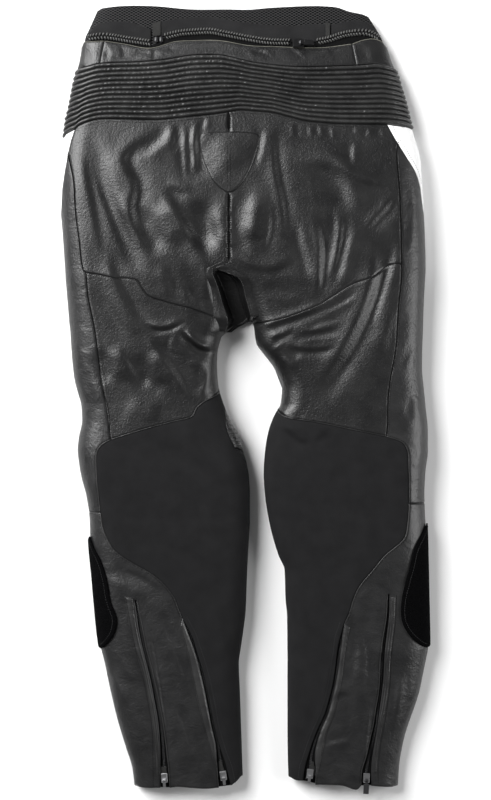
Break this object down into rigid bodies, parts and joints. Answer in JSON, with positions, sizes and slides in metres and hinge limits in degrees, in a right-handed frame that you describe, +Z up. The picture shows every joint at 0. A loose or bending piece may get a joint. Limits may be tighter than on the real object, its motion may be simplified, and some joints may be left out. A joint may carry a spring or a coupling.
{
  "type": "motorcycle trousers",
  "caption": "Black leather motorcycle trousers laid flat seat side up, with a ribbed lower back panel, stretch backs of the knees, white hip inserts, knee patches, leg zips and a zip round the waist",
  "frame": {"origin": "middle of the bounding box, on the surface that the trousers lie on", "axes": "+Y from the hems to the waist, +X to the right of the picture, +Z up from the surface"},
  "size_m": [0.4822, 1.0232, 0.056],
  "materials": {
    "leather_black": "fine grained satin",
    "leather_white": "satin",
    "stretch_fabric": "matte weave",
    "hook_loop": "fuzzy",
    "waist_mesh": "open knit",
    "zip_tape": "woven tape",
    "zip_metal": "satin",
    "pull_plastic": "matte"
  },
  "bodies": {
    "trousers": {"accordion_panel": "leather_black", "ankle_tape_left": "zip_tape", "ankle_tape_right": "zip_tape", "calf_left": "leather_black", "calf_right": "leather_black", "calf_tape_left": "zip_tape", "calf_tape_right": "zip_tape", "crotch_gusset": "leather_black", "fly_flap": "leather_black", "front_thigh_left": "leather_black", "front_thigh_right": "leather_black", "front_waist_left": "leather_black", "front_waist_right": "leather_black", "knee_front_left": "leather_black", "knee_front_right": "leather_black", "knee_patch_left": "hook_loop", "knee_patch_right": "hook_loop", "mesh_band_back": "waist_mesh", "mesh_band_front": "waist_mesh", "seat_left": "leather_black", "seat_right": "leather_black", "shin_front_left": "leather_black", "shin_front_right": "leather_black", "side_panel_left": "leather_black", "side_panel_right": "leather_black", "slider_ankle_left": "zip_metal", "slider_ankle_right": "zip_metal", "slider_calf_left": "zip_metal", "slider_calf_right": "zip_metal", "slider_waist": "zip_metal", "stretch_left": "stretch_fabric", "stretch_right": "stretch_fabric", "tailbone_shield": "leather_black", "thigh_left": "leather_black", "thigh_right": "leather_black", "waist_back": "leather_black", "waist_side_left": "leather_black", "waist_side_right": "leather_black", "white_hip_left": "leather_white", "white_hip_right": "leather_white", "zip_tape_left": "zip_tape", "zip_tape_lower": "zip_tape", "zip_tape_middle": "zip_tape", "zip_tape_right": "zip_tape"},
    "pull_ankle_left_body": {"pull_ankle_left": "zip_metal"},
    "pull_ankle_right_body": {"pull_ankle_right": "zip_metal"},
    "pull_calf_left_body": {"pull_calf_left": "zip_metal"},
    "pull_calf_right_body": {"pull_calf_right": "pull_plastic"},
    "pull_waist_body": {"pull_waist": "zip_metal"}
  },
  "joints": [
    {"name": "ankle_left_pull_hinge", "type": "hinge", "parent": "trousers", "child": "pull_ankle_left_body", "pos_m": [-0.02828, -0.49072, 0.02867], "axis": [-0.9874, -0.1413, 0.0707], "range_deg": [0, 150]},
    {"name": "ankle_right_pull_hinge", "type": "hinge", "parent": "trousers", "child": "pull_ankle_right_body", "pos_m": [0.08325, -0.48815, 0.02901], "axis": [-0.9919, 0.1068, -0.069], "range_deg": [0, 150]},
    {"name": "calf_left_pull_hinge", "type": "hinge", "parent": "trousers", "child": "pull_calf_left_body", "pos_m": [-0.10539, -0.49337, 0.02958], "axis": [-0.9968, -0.0502, -0.0615], "range_deg": [0, 150]},
    {"name": "calf_right_pull_hinge", "type": "hinge", "parent": "trousers", "child": "pull_calf_right_body", "pos_m": [0.15701, -0.49336, 0.02968], "axis": [-0.997, 0.0504, 0.0583], "range_deg": [0, 150]},
    {"name": "waist_pull_hinge", "type": "hinge", "parent": "trousers", "child": "pull_waist_body", "pos_m": [0.07098, 0.46143, 0.03452], "axis": [0.0016, -0.9895, 0.1443], "range_deg": [0, 150]}
  ]
}
